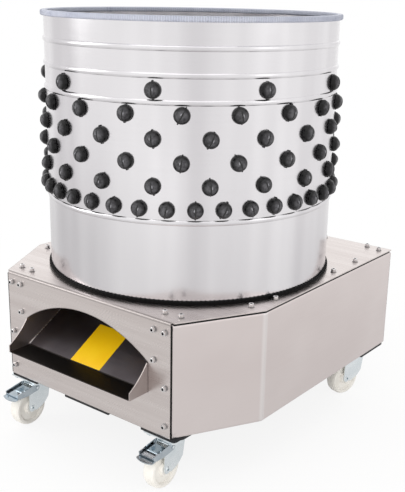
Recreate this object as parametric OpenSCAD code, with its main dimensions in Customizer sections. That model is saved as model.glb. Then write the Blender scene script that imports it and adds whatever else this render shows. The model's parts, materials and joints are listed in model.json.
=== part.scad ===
// Poultry plucker: a drum of rubber fingers on a wheeled sheet-steel base.
// A belt-driven feather plate turns at the foot of the drum and sweeps the feathers into a chute.
// Millimetres. The origin lies on the drum's axis at floor level, +Z is up, the chute faces -Y.

/* [Drum] */
// Outside diameter of the drum wall
drum_d = 600; // [598:1:602]
// Thickness of the drum sheet
drum_sheet = 1.5; // [1.2:0.1:1.6]
// Height of the drum's upper edge above the floor
drum_top = 870; // [866:1:880]
// Heights of the swaged stiffening beads above the floor
bead_z = [505.5, 724.5, 771.5, 818.5];
// Radius of a bead's round section
bead_r = 6; // [5:0.5:6.5]
// How far a bead stands proud of the wall
bead_proud = 3; // [2:0.5:4]

/* [Fingers] */
// Fingers in each of the four middle rows
fingers_per_row = 18; // [16:2:18]
// Direction of the first finger, in degrees from the front
finger_phase = 36.2; // [0:0.1:40]
// Height of the lowest finger row above the floor
finger_row_z = 530; // [529:0.5:531]
// Spacing of the finger rows
finger_row_step = 43.2; // [43:0.1:43.4]
// Diameter of a finger's head
finger_head_d = 31; // [28:0.5:31]
// Height of a finger's domed head
finger_head_h = 14.5; // [13:0.5:16]
// Length of a finger inside the drum
finger_reach = 78; // [70:1:82]
// Grip ribs along a finger
finger_ribs = 8; // [5:1:10]

/* [Base] */
// Width of the base across its sides
base_w = 632; // [630:1:640]
// Width of the front panel between the slanting corners
base_front_w = 452; // [450:1:456]
// Distance of the front panel from the drum's axis
base_front = 324; // [322:1:328]
// Distance from the drum's axis to where the slanting corners end
base_facet = 157; // [150:1:160]
// Distance of the rear panel from the drum's axis
base_back = 354; // [352:1:360]
// Height of the base panels
base_h = 232; // [230:1:234]
// Thickness of the base sheet
sheet = 2; // [1.5:0.1:2]
// Outer radius of the sheet bends
bend_r = 5; // [4:0.5:6]

/* [Chute] */
// Width of the chute mouth
chute_w = 339; // [336:1:340]
// Radius of the arch over the chute mouth
chute_arch_r = 286; // [280:1:290]
// Height of the arch's crown above the lower edge of the panel
chute_arch_top = 196; // [194:1:200]
// Height of the tray floor above the lower edge of the panel
chute_floor = 80; // [78:1:84]
// How far the tray stands out in front of the panel
chute_reach = 50; // [44:1:54]
// Slope of the feather slide in degrees
chute_slope = 30; // [28:1:30]

/* [Casters] */
// Height from the floor to the top of a caster plate
caster_h = 108; // [106:1:110]
// Diameter of a caster wheel
wheel_d = 80; // [78:1:80]
// Width of a caster wheel
wheel_w = 25; // [24:0.5:26]
// Distance from the swivel axis back to the axle
caster_trail = 38; // [36:1:40]
// Angle that a brake pedal is pressed down, until it stops just over the tread
pedal_travel = 9; // [7:0.5:9]

/* [Drive] */
// Outside diameter of the pulley under the feather plate
plate_pulley_d = 248; // [240:1:248]
// Outside diameter of the motor pulley
motor_pulley_d = 68; // [66:1:70]
// Distance from the drum's axis to the motor's axis
motor_y = 215; // [212:1:220]
// Diameter of the feather plate
plate_d = 568; // [560:1:570]
// Diameter of the main shaft
shaft_d = 30; // [28:1:30]
// Diameter of the motor shaft
motor_shaft_d = 19; // [18:1:20]

/* [Hidden] */
$fn = 72;
tiny = 0.01;
run_fit = 0.05;
part_gap = 0.5;

drum_r = drum_d / 2;
drum_in = drum_r - drum_sheet;

rail_t = 6;
rail_w = 100;
pad_w = 88;
base_z = caster_h + rail_t;
top_z = base_z + base_h;
gasket_t = 1.8;
gasket_gap = 0.2;
panel_top = top_z - sheet - gasket_t - 2 * gasket_gap;
front_y = -base_front;
facet_y = -base_facet;
front_half = base_front_w / 2;
base_half = base_w / 2;
facet_slope = (base_half - front_half) / (facet_y - front_y);
facet_run = sqrt(1 + facet_slope * facet_slope);
front_panel_half = front_half - 2.8;
top_flange = 35;
foot_flange = 20;

seal_t = 3;
seal_h = 8;
seal_w = 3.3;
drum_foot = top_z + seal_t;
trim_h = 10.5;
trim_w = 5.5;
trim_top = 3.5;

washer_r = 6.5;
washer_t = 1.2;
screw_head_r = 5;
screw_head_h = 6;
screw_r = 3;
screw_hole_r = 3.25;
screw_len = 13;
socket_r = 2.9;
socket_depth = 3;
right_top_screws = [
    [184, -293], [219, -289], [284, -161], [297, -98], [296, 124], [296, 218], [296, 330],
    [262, 338], [149, 338]
];
top_screws = concat(right_top_screws, [for (p = right_top_screws) [-p.x, p.y]]);
right_front_screws = [[184, 211], [211, 211], [184, 151], [211, 101], [211, 23]];
front_screws = concat(right_front_screws, [for (p = right_front_screws) [-p.x, p.y]]);

chute_half = chute_w / 2;
cheek_out = chute_half - part_gap;
cheek_in = cheek_out - sheet;
lip_h = 15;
slide_end = -95;
slide_low_z = base_z + chute_floor + sheet;
slide_high_z = slide_low_z + (slide_end - front_y) * tan(chute_slope);
chute_flange = 25;
drop_r = 284;
drop_half = 158;

finger_flange_h = 2.5;
finger_neck_r = 9;
finger_hole_r = 9.3;
finger_shoulder_r = 13;
finger_shoulder_h = 4;
finger_root_r = 12;
finger_tip_r = 6.5;
finger_rib_depth = 1.3;
plate_finger_rings = [[92, 6], [165, 12], [240, 18]];

plate_t = 4;
plate_z = 406;
hub_r = 32;
hub_flange_r = 60;
hub_low = 378;
hub_flange_t = 6;
shaft_r = shaft_d / 2;
shaft_low = 134;
shaft_top = 432;
shaft_thread_r = 12;
bearing_r = 27.5;
bearing_w = 13;
housing_low = 250;
housing_top = 366;
housing_r = 36;
housing_flange_r = 62;
housing_flange_t = 12;
housing_boss_r = 34;

pulley_w = 22;
pulley_z = 150;
groove_half = 7;
groove_depth = 13;
groove_angle = 18;
belt_gap = 0.45;
belt_out = 1.5;
belt_in = 10.5;
plate_pulley_r = plate_pulley_d / 2;
motor_pulley_r = motor_pulley_d / 2;
belt_lean = asin((plate_pulley_r - motor_pulley_r) / motor_y);

motor_plate_z = 176;
motor_plate_t = 6;
motor_plate_w = 210;
standoff_r = 8;
standoff_place = 85;
motor_r = 64;
fin_r = 75;
fin_count = 30;
fin_t = 2.6;
shield_h = 18;
stator_h = 96;
fan_cover_h = 40;
motor_shaft_r = motor_shaft_d / 2;
motor_pad_y = 292;
shield_z = motor_plate_z + motor_plate_t;
stator_z = shield_z + shield_h;
cover_z = stator_z + stator_h;

switch_x = -170;
switch_w = 72;
switch_d = 50;
switch_low = 205;
switch_h = 110;
button_r = 11;
button_h = 9;
button_travel = 4;
button_sink = 8;
start_z = switch_low + 74;
stop_z = switch_low + 36;
gland_bore_r = 5;
gland_len = 32;

wheel_r = wheel_d / 2;
axle_z = wheel_r;
axle_r = 4;
fork_in = wheel_w / 2 + 1.5;
fork_t = 2.5;
fork_out = fork_in + fork_t;
fork_top = caster_h - 9.4;
race_r = 27;
race_low = caster_h - 9;
plate_foot_t = 3;
caster_bolt_r = 4;
caster_bolt_hole_r = 4.5;
caster_bolt_x = 28;
caster_bolt_y = 38;
kingpin_r = 6;
pedal_pin = [-26, 84];
pedal_pin_r = 3;
pedal_t = 2;
pedal_reach = 54;
pedal_wall_top = 9.5;
pedal_lean = 9;
pedal_down = pedal_lean + pedal_travel;
pedal_rise = wheel_r + 1.1 - (pedal_pin.y - axle_z) * cos(pedal_down)
    + (pedal_pin.x + caster_trail) * sin(pedal_down);
caster_places = [
    ["fl", [-193, -275], 0], ["fr", [193, -275], 0], ["rl", [-268, 303], 12], ["rr", [268, 303], -15]
];

steel = "#c9c2c1";
bright_steel = "#dcdce4";
zinc = "#9fb0b8";
rubber = "#2b292d";
nylon = "#f0ece6";
cast_grey = "#7f868c";
motor_blue_grey = "#66727c";

// Half width of the base at the slanting corner, a given inset inside the outer faces
function facet_x(y, inset) = front_half + (y - front_y) * facet_slope - inset * facet_run;

// Depth at which the inset slanting edge meets the inset side
function facet_end(inset) = front_y + (base_half - inset - front_half + inset * facet_run) / facet_slope;

// Plan of the base from a given front line back, inset inside the outer faces
function plan(y_front, inset) = [
    [-facet_x(y_front, inset), y_front],
    [facet_x(y_front, inset), y_front],
    [base_half - inset, facet_end(inset)],
    [base_half - inset, base_back - inset],
    [-base_half + inset, base_back - inset],
    [-base_half + inset, facet_end(inset)]
];

// Round holes along Z through the top plate and what is screwed to it
module top_screw_holes() {
    for (p = top_screws)
        translate([p.x, p.y, top_z - 20])
            cylinder(r = screw_hole_r, h = 30);
}

// Round holes along Y through the front panel and what is screwed to it
module front_screw_holes() {
    for (p = front_screws)
        translate([p.x, front_y + 20, base_z + p.y])
            rotate([90, 0, 0])
                cylinder(r = screw_hole_r, h = 30);
}

// Gasket between the top plate and the flanges of the side and rear panels
module top_gasket() {
    edge = 4;
    inner = 28;
    color(rubber)
        difference() {
            translate([0, 0, panel_top + gasket_gap])
                linear_extrude(gasket_t)
                    difference() {
                        polygon(plan(front_y + bend_r + 3, edge));
                        polygon(plan(front_y, inner));
                    }
            top_screw_holes();
        }
}

// Quarter of a bent sheet: outer corner at the lower left, centre of the bend at the origin
module bend_quarter() {
    intersection() {
        difference() {
            circle(r = bend_r);
            circle(r = bend_r - sheet);
        }
        translate([-bend_r, -bend_r])
            square(bend_r);
    }
}

// Section of a folded panel: outer face on x = 0, flanges turned towards +x
module channel_section(height) {
    translate([0, bend_r])
        square([sheet, height - 2 * bend_r]);
    translate([bend_r, bend_r])
        bend_quarter();
    translate([bend_r, 0])
        square([foot_flange - bend_r, sheet]);
    translate([bend_r, height - bend_r])
        mirror([0, 1])
            bend_quarter();
    translate([bend_r, height - sheet])
        square([top_flange - bend_r, sheet]);
}

// Folded panel from one plan point to the next, with its flanges to the left of that way
module panel_run(from, to) {
    way = to - from;
    translate([from.x, from.y, base_z])
        rotate([0, 0, atan2(way.y, way.x) + 90])
            rotate([90, 0, 0])
                linear_extrude(norm(way))
                    channel_section(panel_top - base_z);
}

// Prism over a plan polygon, as tall as the base
module plan_prism(points) {
    translate([0, 0, base_z - 1])
        linear_extrude(base_h + 2)
            polygon(points);
}

// Plan of the mouth cut in the front panel, as width against height
module mouth_outline() {
    intersection() {
        translate([0, chute_arch_top - chute_arch_r])
            circle(r = chute_arch_r, $fn = 180);
        translate([-chute_half, chute_floor - part_gap])
            square([chute_w, chute_arch_top]);
    }
}

// Top plate and front panel: one sheet folded over the front edge
module top_front_panel() {
    bend_y = front_y + bend_r;
    color(steel)
        difference() {
            union() {
                translate([0, 0, top_z - sheet])
                    linear_extrude(sheet)
                        polygon(plan(bend_y, 0));
                translate([front_panel_half, 0, 0])
                    rotate([90, 0, -90])
                        linear_extrude(2 * front_panel_half) {
                            translate([-bend_y, top_z - bend_r])
                                rotate(180)
                                    bend_quarter();
                            translate([base_front - sheet, base_z])
                                square([sheet, base_h - bend_r]);
                        }
                translate([-195, front_y + sheet - tiny, base_z])
                    cube([390, foot_flange - sheet, sheet]);
            }
            translate([0, front_y + 20, base_z])
                rotate([90, 0, 0])
                    linear_extrude(40)
                        mouth_outline();
            translate([0, 0, top_z - 10])
                linear_extrude(20) {
                    intersection() {
                        circle(r = drop_r, $fn = 180);
                        translate([-drop_half, -drop_r])
                            square([2 * drop_half, drop_r + slide_end - sheet]);
                    }
                    circle(r = housing_boss_r + part_gap);
                }
            top_screw_holes();
            front_screw_holes();
            caster_nut_holes();
        }
}

// Right side panel: the slanting corner and the side as one bent sheet with folded flanges
module right_side() {
    corner = [base_half, facet_y];
    inward = [-1 - 1 / facet_run, facet_slope / facet_run];
    outer = corner - 10 * inward;
    inner = corner + 40 * inward;
    flange_y = front_y + sheet + 0.3;
    joint_y = front_y + sheet + 0.6;
    lap = [0, 0.3];
    difference() {
        union() {
            intersection() {
                panel_run([front_half, front_y] - 20 * [facet_slope, 1], corner + 30 * [facet_slope, 1]);
                plan_prism([
                    outer + lap, inner + lap, [inner.x - 90, inner.y], [inner.x - 90, joint_y],
                    [outer.x, joint_y]
                ]);
            }
            intersection() {
                panel_run(corner - [0, 40], [base_half, base_back]);
                plan_prism([
                    outer, [base_half + 5, base_back + 4], [base_half - 60, base_back - 61], inner
                ]);
            }
            translate([0, 0, base_z + 12])
                linear_extrude(panel_top - base_z - 24)
                    polygon([
                        [199, flange_y],
                        [facet_x(flange_y, sheet / 2), flange_y],
                        [facet_x(flange_y + sheet, sheet / 2), flange_y + sheet],
                        [199, flange_y + sheet]
                    ]);
        }
        top_screw_holes();
        front_screw_holes();
        caster_nut_holes();
    }
}

module right_side_panel() {
    color(steel) right_side();
}

module left_side_panel() {
    color(steel) mirror([1, 0, 0]) right_side();
}

// Rear panel: folded sheet with louvre slots for the motor's cooling air
module rear_panel() {
    corner = [base_half, base_back];
    color(steel)
        difference() {
            intersection() {
                panel_run(corner, [-corner.x, corner.y]);
                plan_prism([
                    [corner.x + 4, corner.y + 5], [corner.x - 61, corner.y - 60],
                    [61 - corner.x, corner.y - 60], [-4 - corner.x, corner.y + 5]
                ]);
            }
            for (row = [0:6], side = [0, 1])
                translate([40 + 90 * side, base_back - 10, base_z + 60 + 18 * row])
                    cube([70, 20, 7]);
            translate([switch_x, base_back - 10, switch_low + switch_h / 2])
                rotate([-90, 0, 0])
                    cylinder(r = 10, h = 20);
            top_screw_holes();
            caster_nut_holes();
        }
}

// Rail of a caster pair: a pad over each caster plate, joined by a bar set back under the base
module caster_rail(limits, end) {
    bar_l = 50;
    color(steel)
        difference() {
            translate([0, 0, caster_h])
                linear_extrude(rail_t)
                    intersection() {
                        polygon(limits);
                        union() {
                            for (c = caster_places)
                                if (sign(c[1].y) == end) {
                                    translate(c[1])
                                        square([pad_w, rail_w], center = true);
                                    translate([min(0, c[1].x), c[1].y - bar_l / 2])
                                        square([abs(c[1].x), bar_l]);
                                }
                            children();
                        }
                    }
            caster_bolt_holes();
        }
}

// Front rail, with a middle tab under the foot of the front panel
module front_caster_rail() {
    front = front_y + 1.5;
    back = front + rail_w;
    tab_half = 62;
    limits = [
        [-facet_x(front, 2), front], [facet_x(front, 2), front],
        [facet_x(back, 2), back], [-facet_x(back, 2), back]
    ];
    caster_rail(limits, -1)
        translate([-tab_half, front])
            square([2 * tab_half, 40]);
}

module rear_caster_rail() {
    half = base_half - 2;
    back = base_back - 1.5;
    caster_rail([[-half, back - rail_w], [half, back - rail_w], [half, back], [-half, back]], 1);
}

// Side of the chute: the fin in front of the panel and the cheek behind it, depth against height
module cheek_outline() {
    panel_back = front_y + sheet + part_gap;
    fin_low = [front_y - chute_reach, base_z + chute_floor];
    lip_top = fin_low + [0, lip_h];
    fin_top = [front_y - 2, base_z + 139.5];
    chord = fin_top - lip_top;
    hollow = 3.5;
    hollow_r = norm(chord) * norm(chord) / (8 * hollow);
    hollow_way = [-chord.y, chord.x] / norm(chord);
    difference() {
        polygon([
            fin_low, lip_top, fin_top, [panel_back, fin_top.y], [panel_back, panel_top - 8],
            [front_y + bend_r + 1, panel_top], [slide_end, panel_top], [slide_end, slide_high_z],
            [front_y, fin_low.y]
        ]);
        translate((fin_top + lip_top) / 2 + (hollow_r - hollow) * hollow_way)
            circle(r = hollow_r, $fn = 180);
    }
}

// Feather chute: slide, tray and cheeks, with the flanges that hang it in the base
module feather_chute() {
    flange_y = front_y + sheet + 0.3;
    color("#8d8886")
        difference() {
            union() {
                translate([cheek_in + tiny, 0, 0])
                    rotate([90, 0, -90])
                        linear_extrude(2 * (cheek_in + tiny))
                            mirror([1, 0])
                                polygon([
                                    [front_y - chute_reach, slide_low_z - sheet],
                                    [front_y - chute_reach, slide_low_z],
                                    [front_y, slide_low_z],
                                    [slide_end - sheet, slide_high_z - sheet * tan(chute_slope)],
                                    [slide_end - sheet, panel_top],
                                    [slide_end + foot_flange, panel_top],
                                    [slide_end + foot_flange, panel_top - sheet],
                                    [slide_end, panel_top - sheet],
                                    [slide_end, slide_high_z - 2 * sheet * tan(chute_slope)],
                                    [front_y + sheet / 2, slide_low_z - sheet]
                                ]);
                for (side = [-1, 1])
                    translate([side * (cheek_in + sheet / 2) + sheet / 2, 0, 0])
                        rotate([90, 0, -90])
                            linear_extrude(sheet)
                                mirror([1, 0])
                                    cheek_outline();
                for (side = [0, 1])
                    mirror([side, 0, 0]) {
                        translate([cheek_out - tiny, flange_y, base_z + chute_floor + 4])
                            cube([chute_flange + 3, sheet, panel_top - base_z - chute_floor - 12]);
                        translate([cheek_out - tiny, front_y + 20, panel_top - sheet])
                            cube([chute_flange, slide_end - front_y - 20, sheet]);
                    }
            }
            top_screw_holes();
            front_screw_holes();
        }
}

// Socket cap screw with its washer along -Z, head on top, seat of the washer at the origin
module cap_screw() {
    head_top = washer_t + screw_head_h;
    chamfer = 0.6;
    difference() {
        union() {
            rotate_extrude()
                polygon([
                    [0, 0], [washer_r, 0], [washer_r, washer_t], [screw_head_r, washer_t],
                    [screw_head_r, head_top - chamfer], [screw_head_r - chamfer, head_top], [0, head_top]
                ]);
            translate([0, 0, -screw_len])
                cylinder(r = screw_r, h = screw_len + 0.5);
        }
        translate([0, 0, head_top - socket_depth])
            cylinder(r = socket_r, h = socket_depth + 1, $fn = 6);
    }
}

module panel_screws() {
    color(bright_steel) {
        for (p = top_screws)
            translate([p.x, p.y, top_z])
                cap_screw();
        for (p = front_screws)
            translate([p.x, front_y, base_z + p.y])
                rotate([90, 0, 0])
                    cap_screw();
    }
}

// Finger angles of a row, in degrees from the front towards +X
function row_angles(row) =
    let (step = 360 / fingers_per_row)
    row == 1 ? [for (i = [0:fingers_per_row / 2 - 1]) finger_phase - step / 2 + 2 * i * step]
    : row == 6 ? [for (i = [0:2 * fingers_per_row - 1]) finger_phase + step / 4 + i * step / 2]
    : [for (i = [0:fingers_per_row - 1]) finger_phase + (row % 2 == 0 ? 0 : step / 2) + i * step];

// Height of a finger row, the sixth being the lowest
function row_z(row) = finger_row_z + (6 - row) * finger_row_step;

// Puts a child that stands along +Z on the drum wall, pointing outward
module on_drum_wall(row) {
    for (a = row_angles(row))
        rotate([0, 0, a])
            translate([0, -drum_r, row_z(row)])
                rotate([90, 0, 0])
                    children();
}

// Section of a finger, radius against height, with the seat of its head at height 0
module finger_section() {
    head_r = finger_head_d / 2;
    seat = -drum_sheet - 0.6;
    root = seat - finger_shoulder_h;
    rib_step = (finger_reach - finger_shoulder_h - finger_tip_r) / finger_ribs;
    crown = finger_head_h - finger_flange_h;
    dome = [for (t = [0:15:75]) [head_r * cos(t), finger_flange_h + crown * sin(t)]];
    shank = [for (i = [0:finger_ribs - 1], deep = [0, 1])
        let (t = (i + 0.5 * deep) / finger_ribs)
        [
            finger_root_r + (finger_tip_r - finger_root_r) * t - finger_rib_depth * deep,
            root - rib_step * (i + 0.55 * deep)
        ]];
    tip_z = root - rib_step * finger_ribs;
    tip = [for (t = [0:30:60]) [finger_tip_r * cos(t), tip_z - finger_tip_r * sin(t)]];
    polygon(concat(
        [[0, finger_head_h]],
        [for (i = [len(dome) - 1:-1:0]) dome[i]],
        [[head_r, 1], [head_r - 1, 0], [finger_neck_r, 0], [finger_neck_r, seat],
            [finger_shoulder_r, seat], [finger_shoulder_r, root]],
        shank, tip, [[0, tip_z - finger_tip_r]]
    ));
}

// Rubber finger: domed head outside, necked through the sheet, ribbed shank inside
module finger() {
    translate([0, 0, 0.05])
        rotate_extrude()
            finger_section();
}

module finger_row(row) {
    color(rubber)
        on_drum_wall(row)
            finger();
}

// Section of the drum wall with its beads, filled to the axis and drawn in by a given amount
module drum_section(inset) {
    translate([0, drum_foot - inset])
        square([drum_r - inset, drum_top - drum_foot + 2 * inset]);
    for (z = bead_z)
        translate([drum_r - bead_r + bead_proud, z])
            circle(r = bead_r - inset);
}

// Drum: rolled sheet with swaged beads, punched for the fingers
module drum_shell() {
    color(bright_steel)
        difference() {
            rotate_extrude($fn = 180)
                difference() {
                    drum_section(0);
                    drum_section(drum_sheet);
                    translate([-1, 0])
                        square([1, drum_top + 10]);
                }
            for (row = [1:6])
                on_drum_wall(row)
                    translate([0, 0, -10])
                        cylinder(r = finger_hole_r, h = 20);
        }
}

// Edge trim: rounded channel pushed over the drum's upper edge
module rim_trim() {
    low = drum_top + trim_top - trim_h;
    round_r = 3;
    slot_gap = 0.3;
    color("#8f94a8")
        rotate_extrude($fn = 180)
            difference() {
                union() {
                    translate([drum_in - trim_w, low + round_r])
                        square([drum_sheet + 2 * trim_w, trim_h - 2 * round_r]);
                    translate([drum_in - trim_w + round_r, low])
                        square([drum_sheet + 2 * (trim_w - round_r), trim_h]);
                    for (r = [drum_in - trim_w + round_r, drum_r + trim_w - round_r],
                            z = [low + round_r, low + trim_h - round_r])
                        translate([r, z])
                            circle(r = round_r);
                }
                translate([drum_in - slot_gap, low - 1])
                    square([drum_sheet + 2 * slot_gap, trim_h - trim_top + 1 + slot_gap]);
            }
}

// Seal under the drum's foot with an outer lip that hugs the wall
module drum_seal() {
    foot_in = drum_in + 0.1;
    foot_top = top_z + seal_t;
    lip_in = drum_r + 0.3;
    lip_out = drum_r + seal_w;
    lip_top = top_z + seal_h;
    chamfer_w = 0.9;
    chamfer_z = lip_top - 1.6;
    color(rubber)
        rotate_extrude($fn = 180)
            polygon([
                [foot_in, top_z], [lip_out, top_z],
                [lip_out, chamfer_z], [lip_out - chamfer_w, lip_top],
                [lip_in + chamfer_w, lip_top], [lip_in, chamfer_z],
                [lip_in, foot_top], [foot_in, foot_top]
            ]);
}

// Angle brackets that screw the drum to the top plate from inside
module drum_brackets() {
    leg = 40;
    thick = 3;
    reach = sqrt(drum_in * drum_in - leg * leg / 4) - 0.2;
    color(steel)
        for (side = [-1, 1], a = [62, 112, 162])
            rotate([0, 0, side * a])
                translate([0, -reach, top_z]) {
                    difference() {
                        translate([-leg / 2, 0, 0])
                            cube([leg, leg, thick]);
                        translate([0, leg / 2 + 4, -1])
                            cylinder(r = 4.5, h = thick + 2);
                    }
                    difference() {
                        translate([-leg / 2, 0, 0])
                            cube([leg, thick, leg]);
                        translate([0, -1, leg / 2 + 4])
                            rotate([-90, 0, 0])
                                cylinder(r = 4.5, h = thick + 2);
                    }
                }
}

// Holes or fingers of the feather plate, in rings with gaps kept for the blades
module on_feather_plate() {
    for (ring = plate_finger_rings, i = [0:ring[1] - 1])
        rotate([0, 0, (i + 0.5) * 360 / ring[1]])
            translate([0, -ring[0], plate_z - plate_t])
                rotate([180, 0, 0])
                    children();
}

// Feather plate: turning disc at the foot of the drum
module feather_plate() {
    color(bright_steel)
        difference() {
            translate([0, 0, plate_z - plate_t])
                cylinder(r = plate_d / 2, h = plate_t, $fn = 180);
            translate([0, 0, plate_z - plate_t - 1])
                cylinder(r = shaft_r + 0.5, h = plate_t + 2);
            on_feather_plate()
                translate([0, 0, -10])
                    cylinder(r = finger_hole_r, h = 20);
        }
}

// The same fingers with a longer neck for the thicker plate
module plate_fingers() {
    neck = plate_t - drum_sheet;
    color(rubber)
        on_feather_plate()
            translate([0, 0, 0.05])
                rotate_extrude() {
                    intersection() {
                        finger_section();
                        square([finger_head_d, finger_head_h]);
                    }
                    translate([0, -neck])
                        difference() {
                            finger_section();
                            square([finger_head_d, finger_head_h]);
                        }
                    translate([0, -neck - tiny])
                        square([finger_neck_r, neck + 2 * tiny]);
                }
}

// Angle blades under the feather plate that sweep the feathers round to the chute
module scraper_blades() {
    blade_in = 66;
    blade_out = 262;
    blade_low = top_z + 5;
    thick = 3;
    foot = 18;
    color(steel)
        for (a = [0, 120, 240])
            rotate([0, 0, a]) {
                translate([-thick / 2, -blade_out, blade_low])
                    cube([thick, blade_out - blade_in, plate_z - plate_t - blade_low]);
                translate([-thick / 2, -blade_out, plate_z - plate_t - thick])
                    cube([foot, blade_out - blade_in, thick]);
            }
}

// Hub that clamps the feather plate to the shaft
module plate_hub() {
    color(cast_grey)
        difference() {
            union() {
                translate([0, 0, hub_low])
                    cylinder(r = hub_r, h = plate_z - plate_t - hub_low);
                translate([0, 0, plate_z - plate_t - hub_flange_t])
                    cylinder(r = hub_flange_r, h = hub_flange_t);
            }
            translate([0, 0, hub_low - 1])
                cylinder(r = shaft_r + 0.02, h = 40);
            for (a = [45:90:315])
                rotate([0, 0, a])
                    translate([46, 0, hub_low])
                        cylinder(r = 4.2, h = 40);
        }
}

// Washer and hexagon nut over the feather plate
module shaft_nut() {
    washer_t = 4;
    nut_h = 16;
    color(bright_steel)
        difference() {
            union() {
                translate([0, 0, plate_z])
                    cylinder(r = 28, h = washer_t);
                translate([0, 0, plate_z + washer_t - tiny])
                    cylinder(r = 20, h = nut_h, $fn = 6);
            }
            translate([0, 0, plate_z - 1])
                cylinder(r = shaft_thread_r + 0.05, h = 40);
        }
}

module main_shaft() {
    shoulder = plate_z - 0.5;
    color(cast_grey) {
        translate([0, 0, shaft_low])
            cylinder(r = shaft_r, h = shoulder - shaft_low);
        translate([0, 0, shoulder - tiny])
            cylinder(r = shaft_thread_r, h = shaft_top - shoulder);
    }
}

// Rubber ring that turns with the shaft on top of the bearing housing
module shaft_seal() {
    low = housing_top + 0.6;
    color(rubber)
        rotate_extrude()
            polygon([
                [shaft_r + 0.02, low + 9], [shaft_r + 0.02, low + 2], [shaft_r + 4, low + 2],
                [shaft_r + 11, low], [shaft_r + 11.5, low + 1.5], [shaft_r + 6, low + 4],
                [shaft_r + 6, low + 9]
            ]);
}

// Flanged housing under the top plate that carries both bearings
module bearing_housing() {
    flange_z = top_z - sheet - housing_flange_t;
    color(cast_grey)
        difference() {
            union() {
                translate([0, 0, housing_low])
                    cylinder(r = housing_r, h = flange_z - housing_low + 1);
                translate([0, 0, flange_z])
                    cylinder(r = housing_flange_r, h = housing_flange_t);
                translate([0, 0, flange_z])
                    cylinder(r = housing_boss_r, h = housing_top - flange_z);
            }
            translate([0, 0, housing_low - 1])
                cylinder(r = shaft_r + 4, h = 200);
            for (z = [housing_low - 1, housing_top - bearing_w - 3])
                translate([0, 0, z])
                    cylinder(r = bearing_r + 0.02, h = bearing_w + 4);
            for (a = [45:90:315])
                rotate([0, 0, a])
                    translate([49, 0, flange_z - 1])
                        cylinder(r = 4.5, h = 20);
        }
}

// Deep-groove ball bearings, each drawn as one closed ring with its shield grooves
module shaft_bearings() {
    groove_in = shaft_r + 4;
    groove_out = bearing_r - 3.5;
    color(bright_steel)
        for (z = [housing_low + 2.5, housing_top - bearing_w - 2.5])
            translate([0, 0, z])
                rotate_extrude()
                    difference() {
                        translate([shaft_r + run_fit, 0])
                            square([bearing_r - shaft_r - run_fit, bearing_w]);
                        for (face = [-1, bearing_w - 0.8])
                            translate([groove_in, face])
                                square([groove_out - groove_in, 1.8]);
                    }
}

// Half section of a pulley rim with its belt groove, radius against height about the belt plane
module pulley_section(rim_r, hub, bore, hub_low_h, hub_high_h, web_t) {
    bottom_r = rim_r - groove_depth;
    bottom_half = groove_half - groove_depth * tan(groove_angle);
    rim_in = bottom_r - 5;
    difference() {
        union() {
            translate([rim_in, -pulley_w / 2])
                square([rim_r - rim_in, pulley_w]);
            translate([bore, -web_t / 2])
                square([rim_in - bore + 1, web_t]);
            translate([bore, -hub_low_h])
                square([hub - bore, hub_low_h + hub_high_h]);
        }
        polygon([
            [rim_r + tiny, -groove_half], [rim_r + tiny, groove_half],
            [bottom_r, bottom_half], [bottom_r, -bottom_half]
        ]);
    }
}

// Cast pulley on the lower end of the main shaft, with a pierced web
module plate_pulley() {
    color(cast_grey)
        translate([0, 0, pulley_z])
            difference() {
                rotate_extrude($fn = 120)
                    pulley_section(plate_pulley_r, 30, shaft_r + 0.02, 14, 16, 9);
                for (a = [0:60:300])
                    rotate([0, 0, a])
                        translate([66, 0, -20])
                            cylinder(r = 20, h = 40);
            }
}

module motor_pulley() {
    color(cast_grey)
        translate([0, motor_y, pulley_z])
            rotate_extrude()
                pulley_section(motor_pulley_r, motor_pulley_r - 18, motor_shaft_r + 0.02, 14, 14, 20);
}

// Plan of the space inside the belt's outer or inner line, a given depth below the pulley rims
module belt_loop(depth) {
    lap = 0.02;
    wide = plate_pulley_r - depth;
    narrow = motor_pulley_r - depth;
    side = [cos(belt_lean), sin(belt_lean)];
    big_end = (wide - lap) * side;
    small_end = (narrow - lap) * side + [0, motor_y];
    circle(r = wide, $fn = 120);
    translate([0, motor_y])
        circle(r = narrow);
    polygon([big_end, small_end, [-small_end.x, small_end.y], [-big_end.x, big_end.y]]);
}

// One layer of the belt between two depths, as wide as the groove allows at the deeper one
module belt_layer(from_depth, to_depth) {
    half = groove_half - belt_gap - to_depth * tan(groove_angle);
    translate([0, 0, pulley_z - half])
        linear_extrude(2 * half)
            difference() {
                belt_loop(from_depth);
                belt_loop(to_depth);
            }
}

// Endless V-belt: a wide back and a narrower core
module v_belt() {
    belt_mid = (belt_out + belt_in) / 2;
    color(rubber) {
        belt_layer(belt_out, belt_mid);
        belt_layer(belt_mid - 0.6, belt_in);
    }
}

// Motor, hung with its shaft down: everything on the motor's axis
module at_motor(z) {
    translate([0, motor_y, z])
        children();
}

module motor_mount_plate() {
    half = motor_plate_w / 2;
    color(steel)
        at_motor(motor_plate_z)
            linear_extrude(motor_plate_t)
                difference() {
                    translate([-half, -half])
                        square(motor_plate_w);
                    circle(r = 48);
                    for (x = [-1, 1], y = [-1, 1])
                        translate([x * standoff_place, y * standoff_place]) {
                            translate([-4.5, -9])
                                square([9, 18]);
                            for (end = [-9, 9])
                                translate([0, end])
                                    circle(r = 4.5);
                        }
                }
}

// Threaded pillars between the motor plate and the top plate
module motor_standoffs() {
    color(zinc)
        for (x = [-1, 1], y = [-1, 1])
            at_motor(shield_z)
                translate([x * standoff_place, y * standoff_place, 0])
                    cylinder(r = standoff_r, h = top_z - sheet - shield_z);
}

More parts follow.
